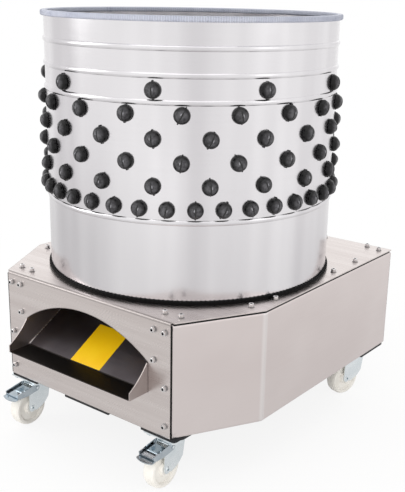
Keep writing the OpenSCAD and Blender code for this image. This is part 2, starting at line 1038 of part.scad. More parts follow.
module motor_end_shield() {
    color(motor_blue_grey)
        at_motor(shield_z)
            difference() {
                union() {
                    cylinder(r = 70, h = shield_h);
                    translate([0, 0, -motor_plate_t])
                        cylinder(r = 47.5, h = motor_plate_t + 1);
                }
                translate([0, 0, -10])
                    cylinder(r = motor_shaft_r + run_fit, h = 40);
                translate([0, 0, -motor_plate_t - 1])
                    cylinder(r = 24, h = 5);
            }
}

// Finned stator frame with the pad for the terminal box
module motor_housing() {
    color(motor_blue_grey)
        at_motor(stator_z)
            linear_extrude(stator_h)
                difference() {
                    union() {
                        circle(r = motor_r);
                        for (i = [0:fin_count - 1])
                            rotate(i * 360 / fin_count)
                                translate([0, -fin_t / 2])
                                    square([fin_r, fin_t]);
                        translate([-30, 0])
                            square([60, motor_pad_y - motor_y]);
                    }
                    circle(r = motor_shaft_r + run_fit);
                }
}

// Cowl over the fan with a slotted end
module motor_fan_cover() {
    wall = 1.5;
    cowl_r = 73;
    color(motor_blue_grey)
        at_motor(cover_z)
            difference() {
                cylinder(r = cowl_r, h = fan_cover_h);
                translate([0, 0, -1])
                    cylinder(r = cowl_r - wall, h = fan_cover_h + 1 - wall);
                for (x = [-50:12.5:50])
                    translate([x - 3, -sqrt(62 * 62 - x * x), fan_cover_h - 5])
                        cube([6, 2 * sqrt(62 * 62 - x * x), 10]);
            }
}

// Radial fan on the upper end of the motor shaft
module motor_fan() {
    blades = 8;
    color("#3d4348")
        at_motor(cover_z + 6)
            linear_extrude(22)
                difference() {
                    union() {
                        circle(r = 18);
                        for (i = [0:blades - 1])
                            rotate(i * 360 / blades)
                                translate([0, -1.5])
                                    square([60, 3]);
                    }
                    circle(r = motor_shaft_r + 0.02);
                }
}

module motor_shaft() {
    color(cast_grey)
        at_motor(130)
            cylinder(r = motor_shaft_r, h = cover_z + 30 - 130);
}

// Terminal box on the motor's pad, with its lid line
module terminal_box() {
    color(motor_blue_grey)
        translate([0, motor_pad_y, stator_z + 14])
            difference() {
                translate([-42, 0, 0])
                    cube([84, 48, 72]);
                for (x = [-43, 41.2])
                    translate([x, 34, -1])
                        cube([1.8, 2, 80]);
            }
}

// Button seen from the rear: centre height and the depth of its guide
module button_place(z) {
    translate([switch_x, base_back + switch_d, z])
        rotate([-90, 0, 0])
            children();
}

// Switch box on the rear panel, with a guide for each button
module switch_box() {
    edge = 6;
    guide = button_sink + button_travel + 1;
    color("#5a5d60")
        difference() {
            union() {
                translate([switch_x - switch_w / 2, base_back, switch_low])
                    cube([switch_w, switch_d - edge, switch_h]);
                translate([switch_x - switch_w / 2 + edge, base_back, switch_low + edge])
                    cube([switch_w - 2 * edge, switch_d, switch_h - 2 * edge]);
                button_place(start_z)
                    cylinder(r = button_r + 4, h = 6);
            }
            for (z = [start_z, stop_z])
                button_place(z)
                    translate([0, 0, -guide])
                        cylinder(r = button_r + run_fit, h = guide + 20);
            translate([switch_x, base_back + switch_d / 2, switch_low - 1])
                cylinder(r = gland_bore_r + 2, h = 9);
        }
}

// Push button with a domed face, its guide sunk in the box
module push_button(rise) {
    dome = 1.5;
    dome_r = (button_r * button_r + dome * dome) / (2 * dome);
    translate([0, 0, -button_sink])
        rotate_extrude() {
            square([button_r, button_sink + rise]);
            intersection() {
                translate([0, button_sink + rise + dome - dome_r])
                    circle(r = dome_r, $fn = 180);
                translate([0, button_sink + rise - tiny])
                    square([button_r, dome + 1]);
            }
        }
}

module start_button() {
    color("#2f8f4a") button_place(start_z) push_button(5);
}

module stop_button() {
    color("#c0302c") button_place(stop_z) push_button(button_h);
}

// Cable gland under the switch box: hexagon, sealing nut and through bore
module cable_gland() {
    color("#2b2b2d")
        translate([switch_x, base_back + switch_d / 2, switch_low])
            mirror([0, 0, 1])
                difference() {
                    union() {
                        cylinder(r = 14, h = 8, $fn = 6);
                        cylinder(r = 11, h = 14);
                        translate([0, 0, 12])
                            cylinder(r = 13.5, h = 12, $fn = 6);
                        rotate_extrude()
                            polygon([[0, 24], [12, 24], [8.5, gland_len], [0, gland_len]]);
                    }
                    translate([0, 0, -1])
                        cylinder(r = gland_bore_r, h = gland_len + 2);
                }
}

// Puts a child on a caster's swivel axis, turned to the way its wheel trails
module at_caster(name) {
    for (c = caster_places)
        if (c[0] == name)
            translate([c[1].x, c[1].y, 0])
                rotate([0, 0, c[2]])
                    children();
}

// Puts a child at each plate bolt of every caster
module at_caster_bolts() {
    for (c = caster_places, x = [-1, 1], y = [-1, 1])
        translate([c[1].x + x * caster_bolt_x, c[1].y + y * caster_bolt_y, 0])
            children();
}

// Clear holes in the panels' foot flanges round the caster nuts
module caster_nut_holes() {
    at_caster_bolts()
        translate([0, 0, base_z - 1])
            cylinder(r = 9, h = 12);
}

module caster_bolt_holes() {
    at_caster_bolts()
        translate([0, 0, caster_h - 20])
            cylinder(r = caster_bolt_hole_r, h = 40);
}

// Square with round corners, centred
module rounded_square(w, l, r) {
    translate([-w / 2 + r, -l / 2])
        square([w - 2 * r, l]);
    translate([-w / 2, -l / 2 + r])
        square([w, l - 2 * r]);
    for (x = [-1, 1], y = [-1, 1])
        translate([x * (w / 2 - r), y * (l / 2 - r)])
            circle(r = r);
}

// Caster top plates with the upper ball race and the kingpin
module caster_plates() {
    color(zinc)
        difference() {
            for (c = caster_places)
                translate([c[1].x, c[1].y, 0]) {
                    translate([0, 0, caster_h - plate_foot_t])
                        linear_extrude(plate_foot_t)
                            rounded_square(82, 96, 7);
                    translate([0, 0, race_low])
                        cylinder(r1 = race_r - 3, r2 = race_r, h = caster_h - plate_foot_t - race_low + tiny);
                    translate([0, 0, race_low - 15])
                        cylinder(r = kingpin_r, h = 16);
                }
            caster_bolt_holes();
        }
}

// Hexagon bolts and nuts that hold the caster plates to the rails
module caster_bolts() {
    color(zinc)
        at_caster_bolts() {
            translate([0, 0, caster_h - plate_foot_t - 5])
                cylinder(r = 7, h = 5, $fn = 6);
            translate([0, 0, caster_h - plate_foot_t - 1])
                cylinder(r = caster_bolt_r, h = 24);
            translate([0, 0, base_z + 0.5])
                cylinder(r = 7.2, h = 6, $fn = 6);
        }
}

// Leg of a fork, seen from the side: distance along the trail against height
module fork_leg_outline() {
    end_r = 9;
    polygon([
        [16, fork_top], [11, 73], [7, 52], [-2, 42.5], [-12, 36], [-28, axle_z - 9.5],
        [-caster_trail, axle_z], [-caster_trail - end_r, axle_z], [-46, 74], [-25, fork_top]
    ]);
    translate([-caster_trail, axle_z])
        circle(r = end_r);
}

// Swivel fork: ball-race head and two pressed legs, with the pivot pin of a brake pedal if it has one
module caster_fork(name, braked) {
    head_t = 5;
    color(zinc)
        at_caster(name)
            difference() {
                union() {
                    translate([0, 0, fork_top - head_t])
                        linear_extrude(head_t) {
                            circle(r = 25);
                            translate([-fork_out, -24])
                                square([2 * fork_out, 38]);
                        }
                    for (x = [-fork_out, fork_in])
                        translate([x, 0, 0])
                            rotate([90, 0, 90])
                                linear_extrude(fork_t)
                                    fork_leg_outline();
                    if (braked)
                        translate([-fork_out - 4, pedal_pin.x, pedal_pin.y])
                            rotate([0, 90, 0])
                                cylinder(r = pedal_pin_r, h = 2 * fork_out + 8);
                }
                translate([0, 0, fork_top - head_t - 1])
                    cylinder(r = kingpin_r + run_fit, h = head_t + 2);
                translate([-50, -caster_trail, axle_z])
                    rotate([0, 90, 0])
                        cylinder(r = axle_r + 0.02, h = 100);
            }
}

// Hollow riveted axle with a flanged end outside each leg
module caster_axle(name) {
    end_t = 1.5;
    half = fork_out + end_t;
    color(zinc)
        at_caster(name)
            translate([0, -caster_trail, axle_z])
                rotate([0, 90, 0])
                    difference() {
                        union() {
                            translate([0, 0, -half])
                                cylinder(r = axle_r, h = 2 * half);
                            translate([0, 0, fork_out])
                                cylinder(r1 = 6, r2 = 5, h = end_t);
                            translate([0, 0, -half])
                                cylinder(r1 = 5, r2 = 6, h = end_t);
                        }
                        for (z = [-half - 1, half - 6])
                            translate([0, 0, z])
                                cylinder(r = 2.4, h = 7);
                    }
}

// Polyamide wheel: crowned tread, dished faces and a hub
module caster_wheel(name) {
    rim = wheel_w / 2;
    crown = 1.2;
    web = 8;
    hub = 13;
    color(nylon)
        at_caster(name)
            translate([0, -caster_trail, axle_z])
                rotate([0, 90, 0])
                    rotate_extrude($fn = 96)
                        polygon([
                            [axle_r + 0.06, -rim - 0.8], [hub, -rim - 0.8],
                            [hub + 2, -web], [wheel_r - 11, -web], [wheel_r - 8, -rim], [wheel_r - 3, -rim],
                            [wheel_r - crown, -rim + 2.5], [wheel_r, -rim / 2], [wheel_r, rim / 2],
                            [wheel_r - crown, rim - 2.5], [wheel_r - 3, rim], [wheel_r - 8, rim],
                            [wheel_r - 11, web], [hub + 2, web], [hub, rim + 0.8], [axle_r + 0.06, rim + 0.8]
                        ]);
}

// Side wall of a brake pedal, from its eye on the pin to the front
module pedal_wall() {
    eye_r = 7;
    circle(r = eye_r);
    polygon([
        [0, -eye_r], [-28, -eye_r], [-pedal_reach, -1], [-pedal_reach, pedal_wall_top],
        [-9, pedal_wall_top], [0, eye_r]
    ]);
}

// Toe of a brake pedal: a flat tongue with a bowed front edge
module pedal_toe() {
    half_w = 20;
    toe_l = 12;
    bow_r = 45;
    front = -pedal_reach - toe_l;
    translate([0, 0, -1])
        linear_extrude(pedal_t)
            intersection() {
                translate([-half_w, front])
                    square([2 * half_w, toe_l + 1]);
                translate([0, front + bow_r])
                    circle(r = bow_r, $fn = 144);
            }
}

// Brake pedal: an open channel over the wheel with a toe, hung on the fork's pin
module brake_pedal(name) {
    wall_in = fork_out + 0.4;
    wall_out = wall_in + pedal_t;
    floor_back = 14;
    color("#b9c6cc")
        at_caster(name)
            translate([0, pedal_pin.x, pedal_pin.y])
                rotate([pedal_lean, 0, 0])
                    difference() {
                        union() {
                            translate([-wall_out, -pedal_reach, pedal_rise])
                                cube([2 * wall_out, pedal_reach - floor_back, pedal_t]);
                            translate([-wall_out, -pedal_reach, -1])
                                cube([2 * wall_out, pedal_t, pedal_rise + pedal_t + 1]);
                            for (x = [-wall_out, wall_in])
                                translate([x, 0, 0])
                                    rotate([90, 0, 90])
                                        linear_extrude(pedal_t)
                                            pedal_wall();
                            pedal_toe();
                        }
                        translate([-50, 0, 0])
                            rotate([0, 90, 0])
                                cylinder(r = pedal_pin_r + run_fit, h = 100);
                    }
}

top_front_panel();
right_side_panel();
left_side_panel();
rear_panel();
front_caster_rail();
rear_caster_rail();
top_gasket();
feather_chute();
panel_screws();
drum_shell();
rim_trim();
drum_seal();
drum_brackets();
finger_row(1);  // finger_row_1
finger_row(2);  // finger_row_2
finger_row(3);  // finger_row_3
finger_row(4);  // finger_row_4
finger_row(5);  // finger_row_5
finger_row(6);  // finger_row_6
feather_plate();
plate_fingers();
scraper_blades();
plate_hub();
shaft_nut();
main_shaft();
shaft_seal();
bearing_housing();
shaft_bearings();
plate_pulley();
v_belt();
motor_pulley();
motor_shaft();
motor_fan();
motor_mount_plate();
motor_standoffs();
motor_end_shield();
motor_housing();
motor_fan_cover();
terminal_box();
switch_box();
start_button();
stop_button();
cable_gland();
caster_plates();
caster_bolts();
caster_fork("fl", true);  // caster_fork_fl
caster_fork("fr", true);  // caster_fork_fr
caster_fork("rl", false);  // caster_fork_rl
caster_fork("rr", false);  // caster_fork_rr
caster_axle("fl");  // caster_axle_fl
caster_axle("fr");  // caster_axle_fr
caster_axle("rl");  // caster_axle_rl
caster_axle("rr");  // caster_axle_rr
caster_wheel("fl");  // caster_wheel_fl
caster_wheel("fr");  // caster_wheel_fr
caster_wheel("rl");  // caster_wheel_rl
caster_wheel("rr");  // caster_wheel_rr
brake_pedal("fl");  // brake_pedal_fl
brake_pedal("fr");  // brake_pedal_fr
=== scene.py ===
import json
import math
import random

import bpy
from mathutils import Matrix, Vector
from mathutils.bvhtree import BVHTree


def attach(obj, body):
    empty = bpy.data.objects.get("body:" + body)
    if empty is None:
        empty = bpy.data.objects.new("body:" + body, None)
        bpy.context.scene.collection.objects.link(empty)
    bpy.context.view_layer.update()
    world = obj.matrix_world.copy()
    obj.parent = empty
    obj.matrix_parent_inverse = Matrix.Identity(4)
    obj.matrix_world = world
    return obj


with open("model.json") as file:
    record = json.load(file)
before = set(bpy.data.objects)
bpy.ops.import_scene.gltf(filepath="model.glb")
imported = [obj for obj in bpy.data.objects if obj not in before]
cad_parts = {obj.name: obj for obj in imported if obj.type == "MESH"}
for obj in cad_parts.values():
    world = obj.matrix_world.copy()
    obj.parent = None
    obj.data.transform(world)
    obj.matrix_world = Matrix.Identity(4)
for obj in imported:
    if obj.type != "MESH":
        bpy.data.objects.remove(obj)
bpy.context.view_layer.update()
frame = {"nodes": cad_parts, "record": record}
nodes = frame["nodes"]
scene = bpy.context.scene
mm = 0.001
mmPerMetre = 1000
upward, downward = Vector((0, 0, 1)), Vector((0, 0, -1))
print("frame loaded,", len(nodes), "nodes")


# sRGB hex to the linear values that shaders take
def linear(hexColour):
    parts = [int(hexColour[i:i + 2], 16) / 255 for i in (1, 3, 5)]
    tones = (c / 12.92 if c <= 0.04045 else ((c + 0.055) / 1.055) ** 2.4 for c in parts)
    return tuple(tones) + (1.0,)


# one node with its settings, values on its sockets, and links into it
def addNode(tree, kind, settings=None, values=None, links=None):
    made = tree.nodes.new(kind)
    for name, value in (settings or {}).items():
        setattr(made, name, value)
    for name, value in (values or {}).items():
        made.inputs[name].default_value = value
    for name, source in (links or {}).items():
        tree.links.new(source, made.inputs[name])
    return made


def newMaterial(name):
    made = bpy.data.materials.new(name)
    made.use_nodes = True
    made.node_tree.nodes.clear()
    return made, made.node_tree


def finishMaterial(tree, shader):
    output = addNode(tree, "ShaderNodeOutputMaterial")
    tree.links.new(shader.outputs[0], output.inputs["Surface"])


# a noise is stretched over the middle of its range: from dark to light, and from gloss to dull
toneSpan = (0.32, 0.68)
glossSpan = (0.3, 0.7)
# sockets of a Mix node for colours: share, colour under, colour over, and the colour that comes out
mixShare, mixUnder, mixOver, mixOut = 0, 6, 7, 2


def setRamp(ramp, look, span=toneSpan):
    for stop, position, tone in zip(ramp.color_ramp.elements, span, ("dark", "light")):
        stop.position, stop.color = position, linear(look[tone])


# camera from the photograph: the image is 405 wide and 492 tall, and the sensor spans its long side
shot = {
    "yaw": -38.167, "pitch": 16.939, "roll": -1.028, "eye": (1.1403, -1.4023, 0.9225),
    "lens": 62.46, "sensor": 36,
}


def placeCamera():
    yaw, pitch, roll = (math.radians(shot[k]) for k in ("yaw", "pitch", "roll"))
    level = math.cos(pitch)
    ahead = Vector((math.sin(yaw) * level, math.cos(yaw) * level, -math.sin(pitch)))
    right = Vector((math.cos(yaw), -math.sin(yaw), 0))
    down = ahead.cross(right)
    turnedRight = math.cos(roll) * right + math.sin(roll) * down
    turnedDown = -math.sin(roll) * right + math.cos(roll) * down
    data = bpy.data.cameras.new("shotCamera")
    data.lens, data.sensor_width = shot["lens"], shot["sensor"]
    camera = bpy.data.objects.new("shotCamera", data)
    scene.collection.objects.link(camera)
    axes = Matrix((turnedRight, -turnedDown, -ahead)).transposed().to_4x4()
    camera.matrix_world = Matrix.Translation(Vector(shot["eye"])) @ axes
    scene.camera = camera


placeCamera()
print("camera placed")

# white paper floor and white surround with soft boxes; the floor fades to plain white away from
# the object, and gets lighter in the metal's mirror image with its distance from glossCentre
studio = {
    "floorSize": 40.0, "paper": {"light": "#f3f2f1", "dark": "#efeeed"},
    "fibreMm": 300, "fibreSpan": (0.3, 0.7),
    "glowNear": 0.86, "glowFar": 1.0, "fadeFrom": 0.4, "fadeTo": 1.5,
    "glossGlow": 0.80, "glossNear": 0.74, "glossFar": 1.04, "glossFrom": 1.0, "glossTo": 3.4,
    "glossCentre": (-0.7, -0.4, 0),
    "surround": "#ffffff", "surroundLevel": 1.0,
    "lamps": {
        "leftBox": {"spot": (-2.6, -2.2, 2.1), "wide": 1.4, "tall": 2.6, "watts": 26},
        "rightBox": {"spot": (3.2, 0.4, 2.0), "wide": 1.0, "tall": 2.4, "watts": 4},
        "frontBox": {"spot": (1.2, -3.0, 0.8), "wide": 1.2, "tall": 1.0, "watts": 21,
                     "mirrored": False},
        "topBox": {"spot": (0.3, -0.7, 3.4), "wide": 2.6, "tall": 2.6, "watts": 12},
        "backBox": {"spot": (-1.9, 2.6, 1.75), "wide": 3.6, "tall": 1.3, "watts": 3},
    },
    "lampAim": (0, 0, 0.45),
}


# uncoated white paper roll, calendered: even and matt, with a trace of fibre cloud
def paperRoll():
    made, tree = newMaterial("whitePaperRoll")
    place = addNode(tree, "ShaderNodeTexCoord").outputs["Object"]
    fibre = addNode(tree, "ShaderNodeTexNoise",
                    values={"Scale": mmPerMetre / studio["fibreMm"], "Detail": 3.0},
                    links={"Vector": place})
    tone = addNode(tree, "ShaderNodeValToRGB", links={"Fac": fibre.outputs["Fac"]})
    setRamp(tone, studio["paper"], studio["fibreSpan"])
    paper = addNode(tree, "ShaderNodeBsdfDiffuse", links={"Color": tone.outputs["Color"]})
    away = addNode(tree, "ShaderNodeVectorMath", {"operation": "LENGTH"}, links={0: place})
    fade = addNode(tree, "ShaderNodeMapRange",
                   values={"From Min": studio["fadeFrom"], "From Max": studio["fadeTo"],
                           "To Min": studio["glowNear"], "To Max": studio["glowFar"]},
                   links={"Value": away.outputs["Value"]})
    rays = addNode(tree, "ShaderNodeLightPath")
    seen = addNode(tree, "ShaderNodeMath", {"operation": "MULTIPLY"},
                   links={0: rays.outputs["Is Camera Ray"], 1: fade.outputs["Result"]})
    mirrored = addNode(tree, "ShaderNodeMath", {"operation": "MULTIPLY"},
                       {1: studio["glossGlow"]}, {0: rays.outputs["Is Glossy Ray"]})
    share = addNode(tree, "ShaderNodeMath", {"operation": "MAXIMUM"},
                    links={0: seen.outputs[0], 1: mirrored.outputs[0]})
    apart = addNode(tree, "ShaderNodeVectorMath", {"operation": "DISTANCE"},
                    {1: studio["glossCentre"]}, {0: place})
    far = addNode(tree, "ShaderNodeMapRange",
                  values={"From Min": studio["glossFrom"], "From Max": studio["glossTo"],
                          "To Min": studio["glossNear"], "To Max": studio["glossFar"]},
                  links={"Value": apart.outputs["Value"]})
    level = addNode(tree, "ShaderNodeMapRange", values={"To Min": 1.0},
                    links={"Value": rays.outputs["Is Glossy Ray"],
                           "To Max": far.outputs["Result"]})
    glow = addNode(tree, "ShaderNodeEmission", values={"Color": linear(studio["surround"])},
                   links={"Strength": level.outputs["Result"]})
    both = addNode(tree, "ShaderNodeMixShader",
                   links={0: share.outputs[0], 1: paper.outputs[0], 2: glow.outputs[0]})
    finishMaterial(tree, both)
    return made


def buildStudio():
    half = studio["floorSize"] / 2
    corners = [(-half, -half, 0), (half, -half, 0), (half, half, 0), (-half, half, 0)]
    mesh = bpy.data.meshes.new("studioFloor")
    mesh.from_pydata(corners, [], [(0, 1, 2, 3)])
    floor = bpy.data.objects.new("studioFloor", mesh)
    scene.collection.objects.link(floor)
    mesh.materials.append(paperRoll())
    world = bpy.data.worlds.new("studioWorld")
    scene.world = world
    world.use_nodes = True
    tree = world.node_tree
    tree.nodes.clear()
    sky = addNode(tree, "ShaderNodeBackground",
                  values={"Color": linear(studio["surround"]),
                          "Strength": studio["surroundLevel"]})
    output = addNode(tree, "ShaderNodeOutputWorld")
    tree.links.new(sky.outputs[0], output.inputs["Surface"])
    for name, lamp in studio["lamps"].items():
        data = bpy.data.lights.new(name, "AREA")
        data.shape = "RECTANGLE"
        data.size, data.size_y, data.energy = lamp["wide"], lamp["tall"], lamp["watts"]
        box = bpy.data.objects.new(name, data)
        scene.collection.objects.link(box)
        box.location = lamp["spot"]
        box.visible_glossy = lamp.get("mirrored", True)
        aim = Vector(studio["lampAim"]) - Vector(lamp["spot"])
        box.rotation_euler = aim.to_track_quat("-Z", "Y").to_euler()
    scene.view_settings.view_transform = "Standard"


buildStudio()
print("studio built")

# heights of the relief that bump draws, and rays for round folds and for painted shade in recesses
relief = {
    "ripple": 3 * mm, "grain": 0.3 * mm, "rib": 0.8 * mm, "foldSamples": 6, "recessShadeSamples": 8,
}


# a sheet or bar with a grain drawn along one way: cloudy tone, uneven gloss and fine lines, with
# spans in millimetres along X, Y and Z. It may have painted shade inside the chute, a fold painted
# to another tone, given by a point and the axes square to it, as painted shade on one sheet and a
# painted highlight on another, and be rounded at its folds
def grainedMetal(look):
    made, tree = newMaterial(look["name"])
    place = addNode(tree, "ShaderNodeTexCoord").outputs["Object"]
    spread = addNode(tree, "ShaderNodeMapping",
                     values={"Scale": [mmPerMetre / span for span in look["cloudMm"]]},
                     links={"Vector": place})
    clouds = addNode(tree, "ShaderNodeTexNoise",
                     values={"Scale": 1.0, "Detail": 2.5, "Roughness": 0.5},
                     links={"Vector": spread.outputs["Vector"]}).outputs["Fac"]
    tone = addNode(tree, "ShaderNodeValToRGB", links={"Fac": clouds})
    setRamp(tone, look)
    colour = tone.outputs["Color"]
    along = addNode(tree, "ShaderNodeMapping",
                    values={"Scale": [mmPerMetre / span for span in look["grainMm"]]},
                    links={"Vector": place})
    grain = addNode(tree, "ShaderNodeTexNoise",
                    values={"Scale": 1.0, "Detail": 2.0, "Roughness": 0.6},
                    links={"Vector": along.outputs["Vector"]}).outputs["Fac"]
    gloss = addNode(tree, "ShaderNodeMapRange",
                    values={"From Min": glossSpan[0], "From Max": glossSpan[1],
                            "To Min": look["roughLow"], "To Max": look["roughHigh"]},
                    links={"Value": grain})
    if "insideShade" in look or "pressed" in look:
        axes = addNode(tree, "ShaderNodeSeparateXYZ", links={"Vector": place})
        aside = addNode(tree, "ShaderNodeMath", {"operation": "ABSOLUTE"},
                        links={0: axes.outputs["X"]})
    # painted shade inside the chute, and a darker painted reflection on its tray
    if "insideShade" in look:
        insideShade = look["insideShade"]
        inside = addNode(tree, "ShaderNodeMath", {"operation": "LESS_THAN"},
                         {1: insideShade["halfMm"] * mm}, {0: aside.outputs[0]})
        paintedShade = addNode(tree, "ShaderNodeValToRGB", links={"Fac": clouds})
        setRamp(paintedShade, insideShade)
        tray = addNode(tree, "ShaderNodeMath", {"operation": "LESS_THAN"},
                       {1: insideShade["trayMm"] * mm}, {0: axes.outputs["Y"]})
        insideShadeMix = addNode(tree, "ShaderNodeMix", {"data_type": "RGBA"},
                         {mixOver: linear(insideShade["trayShadeTone"])},
                         {mixShare: tray.outputs[0], mixUnder: paintedShade.outputs["Color"]})
        colour = addNode(tree, "ShaderNodeMix", {"data_type": "RGBA"},
                         links={mixShare: inside.outputs[0], mixUnder: colour,
                                mixOver: insideShadeMix.outputs[mixOut]}).outputs[mixOut]
    # a fold painted to another tone: painted shade on the top sheet, a painted highlight on the
    # base sheet
    if "pressed" in look:
        pressed = look["pressed"]
        spot = addNode(tree, "ShaderNodeCombineXYZ",
                       links={"X": aside.outputs[0], "Y": axes.outputs["Y"],
                              "Z": axes.outputs["Z"]})
        square = addNode(tree, "ShaderNodeVectorMath", {"operation": "MULTIPLY"},
                         {1: pressed["squareTo"]}, {0: spot.outputs["Vector"]})
        apart = addNode(tree, "ShaderNodeVectorMath", {"operation": "DISTANCE"},
                        {1: [v * mm for v in pressed["foldMm"]]}, {0: square.outputs["Vector"]})
        line = addNode(tree, "ShaderNodeMapRange", {"interpolation_type": "SMOOTHSTEP"},
                       {"From Min": pressed["nearMm"] * mm, "From Max": pressed["farMm"] * mm,
                        "To Min": pressed["share"], "To Max": 0.0},
                       {"Value": apart.outputs["Value"]})
        colour = addNode(tree, "ShaderNodeMix", {"data_type": "RGBA"},
                         {mixOver: linear(pressed["tone"])},
                         {mixShare: line.outputs["Result"], mixUnder: colour}).outputs[mixOut]
    ripple = addNode(tree, "ShaderNodeTexNoise",
                     values={"Scale": mmPerMetre / look["rippleMm"], "Detail": 1.0},
                     links={"Vector": place})
    coarse = addNode(tree, "ShaderNodeBump",
                     values={"Strength": look["rippleBump"], "Distance": relief["ripple"]},
                     links={"Height": ripple.outputs["Fac"]})
    if "foldMm" in look:
        fold = addNode(tree, "ShaderNodeBevel", {"samples": relief["foldSamples"]},
                       {"Radius": look["foldMm"] * mm})
        tree.links.new(fold.outputs["Normal"], coarse.inputs["Normal"])
    fine = addNode(tree, "ShaderNodeBump",
                   values={"Strength": look["grainBump"], "Distance": relief["grain"]},
                   links={"Height": grain, "Normal": coarse.outputs["Normal"]})
    shader = addNode(tree, "ShaderNodeBsdfPrincipled", values={"Metallic": 1.0},
                     links={"Base Color": colour, "Roughness": gloss.outputs["Result"],
                            "Normal": fine.outputs["Normal"]})
    finishMaterial(tree, shader)
    return made


# moulded, cast, plated or painted surface: a mottled tone, uneven gloss and a fine grit. It may be
# lighter far out from the drum's axis, partly as wear and partly as a painted highlight, have
# painted shade in its recesses, and have ribs round that axis with painted shade between them
def mottledSurface(look):
    made, tree = newMaterial(look["name"])
    place = addNode(tree, "ShaderNodeTexCoord").outputs["Object"]
    speck = addNode(tree, "ShaderNodeTexNoise",
                    values={"Scale": mmPerMetre / look["speckMm"], "Detail": 4.0, "Roughness": 0.6},
                    links={"Vector": place}).outputs["Fac"]
    tone = addNode(tree, "ShaderNodeValToRGB", links={"Fac": speck})
    setRamp(tone, look)
    colour = tone.outputs["Color"]
    gloss = addNode(tree, "ShaderNodeMapRange",
                    values={"From Min": glossSpan[0], "From Max": glossSpan[1],
                            "To Min": look["roughLow"], "To Max": look["roughHigh"]},
                    links={"Value": speck})
    grit = addNode(tree, "ShaderNodeTexNoise",
                   values={"Scale": mmPerMetre / look["gritMm"], "Detail": 2.0},
                   links={"Vector": place})
    fine = addNode(tree, "ShaderNodeBump",
                   values={"Strength": look["bump"], "Distance": relief["grain"]},
                   links={"Height": grit.outputs["Fac"]})
    # the crowns painted lighter: partly wear, partly a painted highlight
    if "wearAndSheen" in look:
        wearAndSheen = look["wearAndSheen"]
        plan = addNode(tree, "ShaderNodeVectorMath", {"operation": "MULTIPLY"},
                       {1: (1, 1, 0)}, {0: place})
        out = addNode(tree, "ShaderNodeVectorMath", {"operation": "LENGTH"},
                      links={0: plan.outputs["Vector"]})
        crown = addNode(tree, "ShaderNodeMapRange", {"interpolation_type": "SMOOTHSTEP"},
                        {"From Min": wearAndSheen["fromMm"] * mm, "From Max": wearAndSheen["toMm"] * mm},
                        {"Value": out.outputs["Value"]})
        wearAndSheenTone = addNode(tree, "ShaderNodeValToRGB", links={"Fac": speck})
        setRamp(wearAndSheenTone, wearAndSheen)
        colour = addNode(tree, "ShaderNodeMix", {"data_type": "RGBA"},
                         links={mixShare: crown.outputs["Result"], mixUnder: colour,
                                mixOver: wearAndSheenTone.outputs["Color"]}).outputs[mixOut]
    # painted shade: darker where ambient occlusion finds a recess
    if "paintedShade" in look:
        paintedShade = look["paintedShade"]
        recess = addNode(tree, "ShaderNodeAmbientOcclusion", {"samples": relief["recessShadeSamples"]},
                         {"Distance": paintedShade["reachMm"] * mm})
        share = addNode(tree, "ShaderNodeMapRange",
                        values={"From Min": paintedShade["deep"], "From Max": paintedShade["open"],
                                "To Min": 1.0, "To Max": 0.0},
                        links={"Value": recess.outputs["AO"]})
        colour = addNode(tree, "ShaderNodeMix", {"data_type": "RGBA"},
                         {mixOver: linear(paintedShade["tone"])},
                         {mixShare: share.outputs["Result"], mixUnder: colour}).outputs[mixOut]
    if "ribCount" in look:
        turn = addNode(tree, "ShaderNodeTexGradient", {"gradient_type": "RADIAL"},
                       links={"Vector": place})
        phase = addNode(tree, "ShaderNodeMath", {"operation": "MULTIPLY"},
                        {1: 2 * math.pi * look["ribCount"]}, {0: turn.outputs["Fac"]})
        wave = addNode(tree, "ShaderNodeMath", {"operation": "SINE"}, links={0: phase.outputs[0]})
        fine = addNode(tree, "ShaderNodeBump",
                       values={"Strength": look["ribBump"], "Distance": relief["rib"]},
                       links={"Height": wave.outputs[0], "Normal": fine.outputs["Normal"]})
        # painted shade: the colour is darker in the valleys between the ribs
        crest = addNode(tree, "ShaderNodeMapRange",
                        values={"From Min": -1.0, "From Max": 1.0,
                                "To Min": look["ribShade"], "To Max": 1.0},
                        links={"Value": wave.outputs[0]})
        colour = addNode(tree, "ShaderNodeHueSaturation",
                         links={"Color": colour,
                                "Value": crest.outputs["Result"]}).outputs["Color"]
    values = {"Metallic": look["metallic"]}
    values.update(look.get("sockets", {}))
    shader = addNode(tree, "ShaderNodeBsdfPrincipled", values=values,
                     links={"Base Color": colour, "Roughness": gloss.outputs["Result"],
                            "Normal": fine.outputs["Normal"]})
    finishMaterial(tree, shader)
    return made


